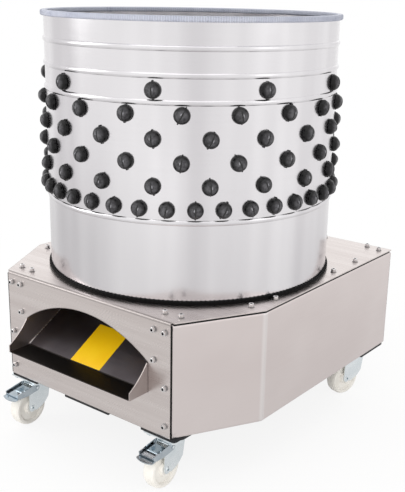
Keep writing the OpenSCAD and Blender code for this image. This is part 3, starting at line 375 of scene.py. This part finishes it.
# materials by the record's slot, and by piece where its finish differs from the slot's
sheets = {
    # the folded top and front sheet, linished along its length: streaks that run from side to
    # side, drawn coarser to show, and painted shade along the fold
    "top_front_panel": {
        "name": "linishedStainless", "light": "#ddd5d2", "dark": "#d2c9c6",
        "cloudMm": (700, 18, 18), "grainMm": (160, 1.8, 1.8), "roughLow": 0.24, "roughHigh": 0.38,
        "rippleMm": 200, "rippleBump": 0.06, "grainBump": 0.06, "foldMm": 3,
        "pressed": {"foldMm": (0, -324, 346), "squareTo": (0, 1, 1), "nearMm": 4, "farMm": 7,
                    "share": 0.9, "tone": "#9d9694"}},
    # stainless sheet, cold rolled to a satin finish: a warm grey soft sheen that hardly shows its
    # grain, drawn coarser to show, and a painted highlight along the slanting corner's fold
    "base_sheet": {
        "name": "satinRolledStainless", "light": "#e2d9d7", "dark": "#dad0ce",
        "cloudMm": (260, 260, 180), "grainMm": (120, 120, 2.0), "roughLow": 0.30, "roughHigh": 0.40,
        "rippleMm": 240, "rippleBump": 0.05, "grainBump": 0.04, "foldMm": 4,
        "pressed": {"foldMm": (316, -157, 0), "squareTo": (1, 1, 0), "nearMm": 3, "farMm": 9,
                    "share": 0.4, "tone": "#f2f0f0"}},
    # stainless sheet, painted dark and cloudy inside as shade, darkest on the tray as a painted
    # reflection of the dark mouth, and outside like the panels; its grain is drawn coarser to show
    "chute_sheet": {
        "name": "insideShadedStainless", "light": "#c0b6b3", "dark": "#b2a8a5",
        "cloudMm": (90, 90, 90), "grainMm": (120, 2.0, 2.0), "roughLow": 0.36, "roughHigh": 0.5,
        "rippleMm": 160, "rippleBump": 0.06, "grainBump": 0.05,
        "insideShade": {"halfMm": 166.5, "light": "#777174", "dark": "#635d60",
                   "trayMm": -322, "trayShadeTone": "#3d3937"}},
    # stainless sheet, bright annealed and rolled to a drum: near mirror, with soft upright bands of
    # tone that are painted reflections; its grain is drawn coarser to show
    "drum_sheet": {
        "name": "brightRolledStainless", "light": "#efedef", "dark": "#cdcacd",
        "cloudMm": (120, 120, 2600), "grainMm": (160, 160, 2.4),
        "roughLow": 0.17, "roughHigh": 0.25,
        "rippleMm": 150, "rippleBump": 0.06, "grainBump": 0.03},
    # stainless disc, circle-ground: a fine even sheen, its grain drawn coarser to show
    "plate_sheet": {
        "name": "groundStainless", "light": "#d6d5d9", "dark": "#c2c1c6",
        "cloudMm": (120, 120, 120), "grainMm": (60, 2.0, 20), "roughLow": 0.26, "roughHigh": 0.38,
        "rippleMm": 160, "rippleBump": 0.04, "grainBump": 0.05},
    # stainless strip, folded and left mill bright: pale grey, its grain drawn coarser to show
    "bracket_steel": {
        "name": "foldedStainlessStrip", "light": "#cbc9cb", "dark": "#b4b2b5",
        "cloudMm": (60, 60, 60), "grainMm": (40, 2.0, 40), "roughLow": 0.3, "roughHigh": 0.42,
        "rippleMm": 90, "rippleBump": 0.04, "grainBump": 0.05},
    # carbon steel bar, turned on a lathe: fine rings round it
    "shaft_steel": {
        "name": "turnedSteel", "light": "#b6b7b9", "dark": "#9b9da0",
        "cloudMm": (40, 40, 40), "grainMm": (30, 30, 0.9), "roughLow": 0.22, "roughHigh": 0.36,
        "rippleMm": 60, "rippleBump": 0.02, "grainBump": 0.08},
}
surfaces = {
    # natural rubber, compression moulded: near black at the edges, and grey on the heads' crowns,
    # partly rubbed wear and partly a painted highlight
    "finger_rubber": {
        "name": "mouldedNaturalRubber", "light": "#111012", "dark": "#060606", "speckMm": 7,
        "gritMm": 1.6, "roughLow": 0.2, "roughHigh": 0.34, "bump": 0.25, "metallic": 0.0,
        "sockets": {"Specular IOR Level": 0.28},
        "wearAndSheen": {"fromMm": 308, "toMm": 315, "light": "#5e5d60", "dark": "#2b2a2d"}},
    # EPDM rubber, extruded: dull black
    "seal_rubber": {
        "name": "extrudedRubber", "light": "#1c1b1d", "dark": "#111012", "speckMm": 12,
        "gritMm": 1.2, "roughLow": 0.45, "roughHigh": 0.6, "bump": 0.3, "metallic": 0.0},
    # EPDM edge strip at the drum's foot, extruded: black with little shine
    "drum_seal": {
        "name": "ribbedRubber", "light": "#0b0a0b", "dark": "#040404", "speckMm": 12,
        "gritMm": 1.2, "roughLow": 0.4, "roughHigh": 0.55, "bump": 0.2, "metallic": 0.0,
        "sockets": {"Specular IOR Level": 0.1}},
    # neoprene belt with a woven cover: dull with a coarse tooth
    "belt_rubber": {
        "name": "wrappedNeoprene", "light": "#2a2a2c", "dark": "#19191b", "speckMm": 10,
        "gritMm": 0.9, "roughLow": 0.55, "roughHigh": 0.7, "bump": 0.4, "metallic": 0.0},
    # PVC edge strip, extruded with cross ribs: blue grey, the ribs drawn coarser to show, with
    # painted shade between them
    "rim_trim": {
        "name": "ribbedPvc", "light": "#c4c7d4", "dark": "#b2b6c6", "speckMm": 40,
        "gritMm": 1.5, "roughLow": 0.26, "roughHigh": 0.36, "bump": 0.15, "metallic": 0.0,
        "ribCount": 420, "ribBump": 0.6, "ribShade": 0.78},
    # mild steel flat, hot rolled: a dull near black that is painted shade under the base's edge
    "rail_steel": {
        "name": "shadeBlackSteel", "light": "#343436", "dark": "#232325", "speckMm": 20,
        "gritMm": 1.0, "roughLow": 0.42, "roughHigh": 0.56, "bump": 0.2, "metallic": 0.6},
    # stainless screws, cold headed: bright, with painted shade in the socket and round the washer
    "screw_steel": {
        "name": "coldHeadedStainless", "light": "#ebe9e9", "dark": "#cac7c7", "speckMm": 4,
        "gritMm": 0.7, "roughLow": 0.12, "roughHigh": 0.2, "bump": 0.08, "metallic": 1.0,
        "paintedShade": {"reachMm": 5, "deep": 0.4, "open": 0.8, "tone": "#0c0b0b"}},
    # grey iron, sand cast: rough and dull
    "cast_grey": {
        "name": "sandCastIron", "light": "#7d8286", "dark": "#5e6266", "speckMm": 6,
        "gritMm": 1.4, "roughLow": 0.5, "roughHigh": 0.68, "bump": 0.5, "metallic": 0.4},
    # cast aluminium motor under grey enamel, sprayed: an even half gloss with orange peel
    "motor_paint": {
        "name": "sprayedGreyEnamel", "light": "#6f7a84", "dark": "#5b656e", "speckMm": 18,
        "gritMm": 1.4, "roughLow": 0.36, "roughHigh": 0.48, "bump": 0.3, "metallic": 0.0},
    # polypropylene, moulded: waxy dark grey
    "fan_plastic": {
        "name": "mouldedPolypropylene", "light": "#3b4046", "dark": "#2b2f34", "speckMm": 16,
        "gritMm": 1.0, "roughLow": 0.45, "roughHigh": 0.58, "bump": 0.2, "metallic": 0.0},
    # ABS, moulded with a fine spark texture: even grey
    "box_plastic": {
        "name": "texturedAbs", "light": "#5f6265", "dark": "#4e5154", "speckMm": 22,
        "gritMm": 0.9, "roughLow": 0.42, "roughHigh": 0.55, "bump": 0.3, "metallic": 0.0},
    # nylon, moulded: black with a slight sheen
    "gland_plastic": {
        "name": "mouldedBlackNylon", "light": "#2e2e30", "dark": "#1f1f21", "speckMm": 10,
        "gritMm": 0.8, "roughLow": 0.42, "roughHigh": 0.56, "bump": 0.2, "metallic": 0.0},
    # acrylic button caps, moulded: clear bright colour and gloss
    "green_plastic": {
        "name": "mouldedGreenAcrylic", "light": "#2f9a4c", "dark": "#237c3b", "speckMm": 12,
        "gritMm": 1.0, "roughLow": 0.2, "roughHigh": 0.3, "bump": 0.05, "metallic": 0.0},
    "red_plastic": {
        "name": "mouldedRedAcrylic", "light": "#cf3730", "dark": "#ad2a25", "speckMm": 12,
        "gritMm": 1.0, "roughLow": 0.2, "roughHigh": 0.3, "bump": 0.05, "metallic": 0.0},
    # pressed steel, bright zinc plated: pale and faintly blue, mirror-like on the flats
    "zinc_steel": {
        "name": "zincPlatedSteel", "light": "#f2f7f9", "dark": "#e1e9ed", "speckMm": 30,
        "gritMm": 1.0, "roughLow": 0.16, "roughHigh": 0.28, "bump": 0.08, "metallic": 1.0},
    # pressed steel pedals, nickel and chrome plated: mirror bright, dark where the machine's
    # underside shows in them, with painted shade in the folds
    "pedal": {
        "name": "chromedSteel", "light": "#c6ced4", "dark": "#a9b4bc", "speckMm": 30,
        "gritMm": 1.0, "roughLow": 0.05, "roughHigh": 0.11, "bump": 0.05, "metallic": 1.0,
        "paintedShade": {"reachMm": 12, "deep": 0.36, "open": 0.86, "tone": "#161b20"}},
    # polyamide, moulded natural white: milky and slightly waxy
    "wheel_nylon": {
        "name": "mouldedPolyamide", "light": "#f2efe9", "dark": "#e8e4dc", "speckMm": 22,
        "gritMm": 1.2, "roughLow": 0.34, "roughHigh": 0.46, "bump": 0.08, "metallic": 0.0},
}
finishes = {slot: grainedMetal(look) for slot, look in sheets.items()}
finishes.update({slot: mottledSurface(look) for slot, look in surfaces.items()})

slotOf = {entry["node"]: entry["material_slot"] for entry in frame["record"]["subparts"]}
for name, node in nodes.items():
    kind = name if name in finishes else slotOf[name]
    if name.startswith("brake_pedal"):
        kind = "pedal"
    node.data.materials.clear()
    node.data.materials.append(finishes[kind])
    for face in node.data.polygons:
        face.material_index = 0
print("finishes on", len(nodes), "nodes")


# a CAD node's points in the shared frame, and a tree of its faces to cast rays at, so that small
# pieces are set on its surface
def surfaceOf(name):
    node = nodes[name]
    points = [node.matrix_world @ v.co for v in node.data.vertices]
    faces = [list(face.vertices) for face in node.data.polygons]
    return points, BVHTree.FromPolygons(points, faces)


# faces of a ridge: rows of points one after the other, each row across the ridge
def ridgeFaces(start, end, wide=3):
    return [(a + k, a + k + 1, a + k + 1 + wide, a + k + wide)
            for a in range(start, end - wide, wide) for k in range(wide - 1)]


# faces of a closed tube: rings of points one after the other, and a cap at each end
def tubeFaces(first, ring, steps):
    faces = []
    for i in range(steps):
        low, high = first + i * ring, first + (i + 1) * ring
        for k in range(ring):
            j = (k + 1) % ring
            faces.append((low + k, low + j, high + j, high + k))
    last = first + steps * ring
    return faces + [tuple(range(first + ring - 1, first - 1, -1)), tuple(range(last, last + ring))]


def addPiece(name, points, faces, finish, smooth=True):
    mesh = bpy.data.meshes.new(name)
    mesh.from_pydata(points, [], faces)
    mesh.validate()
    if smooth:
        mesh.shade_smooth()
    mesh.materials.append(finish)
    piece = bpy.data.objects.new(name, mesh)
    scene.collection.objects.link(piece)
    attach(piece, "base")
    return piece


# mould seam with a flash tab at each end, and a gate scar beside it whose pale colour is a painted
# highlight, on each finger's head; coarser than real so that they show. tabLow and tabHigh are
# distances from the drum's axis
marks = {
    "rows": 6, "seed": 11, "turnSpread": 28,
    "castFrom": 20 * mm, "castTo": 44 * mm, "sunk": 0.25 * mm,
    "headReach": 15.5 * mm, "crownDeep": 0.4 * mm, "headsApart": 12 * mm, "searchReach": 1.6,
    "ridgeSpan": 0.88, "ridgeWide": 3.0 * mm, "ridgeHigh": 1.4 * mm, "ridgeSteps": 12,
    "ridgeFade": 4, "ridgeTaper": 0.6,
    "tabRoot": 13.8 * mm, "tabReach": 2.2 * mm, "tabLeast": 0.2, "tabWide": 4.4 * mm,
    "tabTip": 0.45, "tabLow": 300.4 * mm, "tabHigh": 303.6 * mm,
    "scarWide": 2.6 * mm, "scarLong": 6.5 * mm, "scarHigh": 0.9 * mm,
    "scarOff": 2.4 * mm, "scarUp": 3.5 * mm, "scarMid": 0.6, "scarSway": 0.4,
    "scarSides": 8, "scarRings": ((1.0, -0.5), (0.8, 0.6)),
    # the same rubber where the mould halves met: black and smooth
    "flashLook": {
        "name": "flashedRubber", "light": "#141315", "dark": "#0a0a0b", "speckMm": 5,
        "gritMm": 1.2, "roughLow": 0.2, "roughHigh": 0.32, "bump": 0.15, "metallic": 0.0},
    # the same rubber where the gate was cut off: a dull scar whose pale colour is a painted
    # highlight
    "scarHighlightLook": {
        "name": "gateScarHighlight", "light": "#98979b", "dark": "#66656a", "speckMm": 3,
        "gritMm": 0.8, "roughLow": 0.25, "roughHigh": 0.4, "bump": 0.15, "metallic": 0.0},
}


# heads are found from the outermost points of a row, then centred on the points round them
def fingerHeads(points):
    reach = max(math.hypot(p.x, p.y) for p in points)
    tops = []
    for p in points:
        crowned = math.hypot(p.x, p.y) > reach - marks["crownDeep"]
        if crowned and all((p - q).length > marks["headsApart"] for q in tops):
            tops.append(p.copy())
    heads = []
    search = marks["searchReach"] * marks["headReach"]
    for top in tops:
        out = Vector((top.x, top.y, 0)).normalized()
        side = Vector((-out.y, out.x, 0))
        near = [p - top for p in points if (p - top).length < search]
        shift = Vector()
        for way in (side, upward):
            offs = [p.dot(way) for p in near]
            shift += (min(offs) + max(offs)) / 2 * way
        heads.append(top + shift)
    return heads


# a mark's seat is the head's centre and the ways out of it, along the seam and across the seam
def addSeam(points, faces, tree, seat):
    head, out, along, across = seat
    start = len(points)
    span = marks["ridgeSpan"] * marks["headReach"]
    for i in range(marks["ridgeSteps"] + 1):
        t = 2 * i / marks["ridgeSteps"] - 1
        above = head + out * marks["castFrom"] + along * t * span
        hit, normal, _, _ = tree.ray_cast(above, -out, marks["castTo"])
        if hit is None:
            continue
        fade = t ** marks["ridgeFade"]
        rise = (marks["ridgeHigh"] + marks["sunk"]) * (1 - fade) - marks["sunk"]
        wide = marks["ridgeWide"] / 2 * (1 - marks["ridgeTaper"] * fade)
        low = hit - normal * marks["sunk"]
        points.extend([low - across * wide, hit + normal * rise, low + across * wide])
    faces.extend(ridgeFaces(start, len(points)))


def addTabs(points, faces, rng, seat):
    head, out, along, across = seat
    axis = Vector((0, 0, head.z))
    corners = ((-1, "tabLow"), (1, "tabLow"), (1, "tabHigh"), (-1, "tabHigh"))
    for end in (-1, 1):
        first = len(points)
        tip = marks["headReach"] + marks["tabReach"] * rng.uniform(marks["tabLeast"], 1.0)
        for far, wide in ((marks["tabRoot"], 1.0), (tip, marks["tabTip"])):
            for sideways, lift in corners:
                flat = along * end * far + across * sideways * wide * marks["tabWide"] / 2
                points.append(axis + flat + out * marks[lift])
        faces.extend(tubeFaces(first, len(corners), 1))


def addScar(points, faces, tree, rng, seat):
    head, out, along, across = seat
    lean = rng.uniform(-1, 1)
    aside = across * marks["scarOff"] * (1 if lean > 0 else -1)
    spot = aside + along * marks["scarUp"] * (marks["scarMid"] + marks["scarSway"] * lean)
    above = head + out * marks["castFrom"] + spot
    hit, normal, _, _ = tree.ray_cast(above, -out, marks["castTo"])
    if hit is None:
        return
    first = len(points)
    rim = marks["scarSides"]
    turned = normal.cross(along).normalized()
    upright = turned.cross(normal)
    for part, rise in marks["scarRings"]:
        for i in range(rim):
            a = 2 * math.pi * i / rim
            broad = turned * math.cos(a) * marks["scarWide"]
            flat = (broad + upright * math.sin(a) * marks["scarLong"]) / 2
            points.append(hit + flat * part + normal * rise * marks["scarHigh"])
    points.append(hit + normal * marks["scarHigh"])
    for i in range(rim):
        j = (i + 1) % rim
        faces.append((first + i, first + j, first + rim + j, first + rim + i))
        faces.append((first + rim + i, first + rim + j, first + 2 * rim))


def buildFingerMarks():
    rng = random.Random(marks["seed"])
    points, faces, scarFaces = [], [], []
    for row in range(1, marks["rows"] + 1):
        surface, tree = surfaceOf(f"finger_row_{row}")
        for head in fingerHeads(surface):
            out = Vector((head.x, head.y, 0)).normalized()
            side = Vector((-out.y, out.x, 0))
            turn = math.radians(rng.uniform(-1, 1) * marks["turnSpread"])
            along = math.cos(turn) * upward + math.sin(turn) * side
            seat = (head, out, along, out.cross(along))
            addSeam(points, faces, tree, seat)
            addTabs(points, faces, rng, seat)
            addScar(points, scarFaces, tree, rng, seat)
    # the scars' pale finish is a painted highlight
    flash, scarHighlight = mottledSurface(marks["flashLook"]), mottledSurface(marks["scarHighlightLook"])
    piece = addPiece("fingerMouldMarks", points, faces + scarFaces, flash)
    piece.data.materials.append(scarHighlight)
    for face in piece.data.polygons[len(faces):]:
        face.material_index = 1
    print("mould marks,", len(piece.data.polygons), "faces")


buildFingerMarks()

# cross ribs of the two edge strips, coarser than real so that they show; a centre is given by its
# radius and height, and angles go round the strip's section, 0 outward and 90 up
ribs = {
    "rimRibs": {
        "node": "rim_trim", "slot": "rim_trim", "centre": (299.25 * mm, 868.25 * mm),
        "spans": ((-75, 58), (122, 255)), "steps": 8, "count": 420, "wide": 2.5 * mm,
        "high": 0.55 * mm, "sunk": 0.3 * mm, "fade": 6, "castFrom": 30 * mm},
    "sealRibs": {
        "node": "drum_seal", "slot": "seal_rubber", "centre": (301.5 * mm, 350.0 * mm),
        "spans": ((-35, 125),), "steps": 10, "count": 210, "wide": 5.6 * mm,
        "high": 1.3 * mm, "sunk": 0.3 * mm, "fade": 6, "castFrom": 30 * mm},
}


def buildRibs(name, rib):
    _, tree = surfaceOf(rib["node"])
    middle = Vector((rib["centre"][0], 0, rib["centre"][1]))
    points, faces = [], []
    for low, high in rib["spans"]:
        section = []
        for i in range(rib["steps"] + 1):
            t = 2 * i / rib["steps"] - 1
            a = math.radians(low + (high - low) * i / rib["steps"])
            way = Vector((math.cos(a), 0, math.sin(a)))
            hit, normal, _, _ = tree.ray_cast(middle + way * rib["castFrom"], -way, rib["castFrom"])
            if hit is None:
                continue
            rise = (rib["high"] + rib["sunk"]) * (1 - t ** rib["fade"]) - rib["sunk"]
            section.append((hit - normal * rib["sunk"], hit + normal * rise))
        for k in range(rib["count"]):
            turn = 2 * math.pi * k / rib["count"]
            half = rib["wide"] / 2 / middle.x
            turns = (turn - half, turn, turn + half)
            left, ahead, right = (Matrix.Rotation(step, 3, "Z") for step in turns)
            start = len(points)
            for base, crest in section:
                points.extend([left @ base, ahead @ crest, right @ base])
            faces.extend(ridgeFaces(start, len(points)))
    addPiece(name, points, faces, finishes[rib["node"]])
    print(name, len(faces), "faces")


for name, rib in ribs.items():
    buildRibs(name, rib)

# bare strip of yellow vinyl on the slide
strip = {
    "left": -42 * mm, "right": 39 * mm, "foot": -322 * mm, "up": 86 * mm,
    "lift": 0.35 * mm, "under": 0.05 * mm, "steps": 8, "castFrom": 330 * mm,
    # cast vinyl film, gloss: clean yellow, with faint lift marks from the sheet under it
    "look": {
        "name": "castYellowVinyl", "light": "#ffce0a", "dark": "#fcc404", "speckMm": 45,
        "gritMm": 6, "roughLow": 0.28, "roughHigh": 0.4, "bump": 0.08, "metallic": 0.0},
}


def buildStrip():
    _, tree = surfaceOf("feather_chute")
    points = []
    corners = (("left", "lift"), ("right", "lift"), ("right", "under"), ("left", "under"))
    for i in range(strip["steps"] + 1):
        y = strip["foot"] + strip["up"] * i / strip["steps"]
        for edge, lift in corners:
            hit, normal, _, _ = tree.ray_cast(Vector((strip[edge], y, strip["castFrom"])), downward)
            points.append(hit + normal * strip[lift])
    faces = tubeFaces(0, len(corners), strip["steps"])
    finish = mottledSurface(strip["look"])
    addPiece("yellowStrip", points, faces, finish, smooth=False)
    print("yellow strip laid")


buildStrip()

# black strips in the open joints that are painted shade in the gaps: under the top plate's sides
# and beside the front panel's upright edges
joints = {
    "frontHalf": 226 * mm, "baseHalf": 316 * mm,
    "frontY": -324 * mm, "facetY": -157 * mm, "backY": 348 * mm, "startBack": 5 * mm,
    "inset": 1.3 * mm, "deep": 3 * mm, "low": 339.6 * mm, "high": 343.9 * mm,
    "cornerX": 224.9 * mm, "cornerY": -322.2 * mm, "cornerThick": 1.5 * mm,
    "cornerLow": 116 * mm, "cornerHigh": 341 * mm, "cornerSides": 10,
    # deep black with little shine: painted shade in the joint
    "look": {
        "name": "gapShadeBlack", "light": "#0e0d0e", "dark": "#060606", "speckMm": 8,
        "gritMm": 1.5, "roughLow": 0.45, "roughHigh": 0.6, "bump": 0.2, "metallic": 0.0,
        "sockets": {"Specular IOR Level": 0.15}},
}


# corners of the line that runs inside the top plate's right-hand edge, from the front to the back
def jointPath(near):
    slope = (joints["baseHalf"] - joints["frontHalf"]) / (joints["facetY"] - joints["frontY"])
    lean = math.hypot(1, slope)
    start = joints["frontHalf"] + joints["startBack"] * slope - near * lean
    bend = joints["facetY"] + near * (lean - 1) / slope
    side = joints["baseHalf"] - near
    return [(start, joints["frontY"] + joints["startBack"]), (side, bend), (side, joints["backY"])]


def buildJoints():
    finish = mottledSurface(joints["look"])
    points, faces = [], []
    outer, inner = jointPath(joints["inset"]), jointPath(joints["inset"] + joints["deep"])
    ring, thick = joints["cornerSides"], joints["cornerThick"]
    for side in (-1, 1):
        first = len(points)
        for out, into in zip(outer, inner):
            corners = ((out, "low"), (out, "high"), (into, "high"), (into, "low"))
            for (x, y), level in corners:
                points.append(Vector((side * x, y, joints[level])))
        faces.extend(tubeFaces(first, len(corners), len(outer) - 1))
        first = len(points)
        for level in ("cornerLow", "cornerHigh"):
            for k in range(ring):
                a = 2 * math.pi * k / ring
                x = side * (joints["cornerX"] + thick * math.cos(a))
                y = joints["cornerY"] + thick * math.sin(a)
                points.append(Vector((x, y, joints[level])))
        faces.extend(tubeFaces(first, ring, 1))
    addPiece("jointShadeStrips", points, faces, finish, smooth=False)
    print("joints sealed")


buildJoints()

# seams: the slide welded to its cheeks, and the drum's one upright joint at the back, whose section
# gives places across it and rises as shares of its width and height
seams = {
    "cheekX": 166.3 * mm, "slideFoot": -322 * mm, "slideHead": -225 * mm, "castFrom": 330 * mm,
    "beadThick": 1.3 * mm, "beadSides": 8, "beadSteps": 24,
    "drumTurn": 178.7, "drumLow": 352 * mm, "drumHigh": 858 * mm, "drumSteps": 250,
    "castOut": 400 * mm, "seamWide": 7 * mm, "seamHigh": 0.5 * mm, "endRise": -0.3,
    "section": ((-0.5, -0.3), (-0.32, 0.8), (0.0, 1.0), (0.32, 0.8), (0.5, -0.3)),
    # stainless weld, brushed bright after welding: a pale rippled line
    "look": {
        "name": "brushedWeld", "light": "#efedec", "dark": "#cfcbca", "speckMm": 5,
        "gritMm": 2.2, "roughLow": 0.2, "roughHigh": 0.34, "bump": 0.5, "metallic": 1.0},
}


def buildSlideWelds(finish):
    _, slide = surfaceOf("feather_chute")
    points, faces = [], []
    ring, steps = seams["beadSides"], seams["beadSteps"]
    across = Vector((1, 0, 0))
    for side in (-1, 1):
        first = len(points)
        for i in range(steps + 1):
            y = seams["slideFoot"] + (seams["slideHead"] - seams["slideFoot"]) * i / steps
            above = Vector((side * seams["cheekX"], y, seams["castFrom"]))
            hit, normal, _, _ = slide.ray_cast(above, downward)
            for k in range(ring):
                a = 2 * math.pi * k / ring
                way = math.cos(a) * across + math.sin(a) * normal
                points.append(hit + seams["beadThick"] * way)
        faces.extend(tubeFaces(first, ring, steps))
    addPiece("slideWelds", points, faces, finish)


def buildDrumSeam(finish):
    _, drum = surfaceOf("drum_shell")
    points = []
    turn = math.radians(seams["drumTurn"])
    out = Vector((math.sin(turn), -math.cos(turn), 0))
    side = Vector((-out.y, out.x, 0))
    steps = seams["drumSteps"]
    for i in range(steps + 1):
        z = seams["drumLow"] + (seams["drumHigh"] - seams["drumLow"]) * i / steps
        hit, _, _, _ = drum.ray_cast(out * seams["castOut"] + Vector((0, 0, z)), -out)
        for across, rise in seams["section"]:
            rise = seams["endRise"] if i in (0, steps) else rise
            points.append(hit + side * across * seams["seamWide"] + out * rise * seams["seamHigh"])
    faces = ridgeFaces(0, len(points), len(seams["section"]))
    addPiece("drumSeam", points, faces, finish)


weld = mottledSurface(seams["look"])
buildSlideWelds(weld)
buildDrumSeam(weld)
print("seams laid")
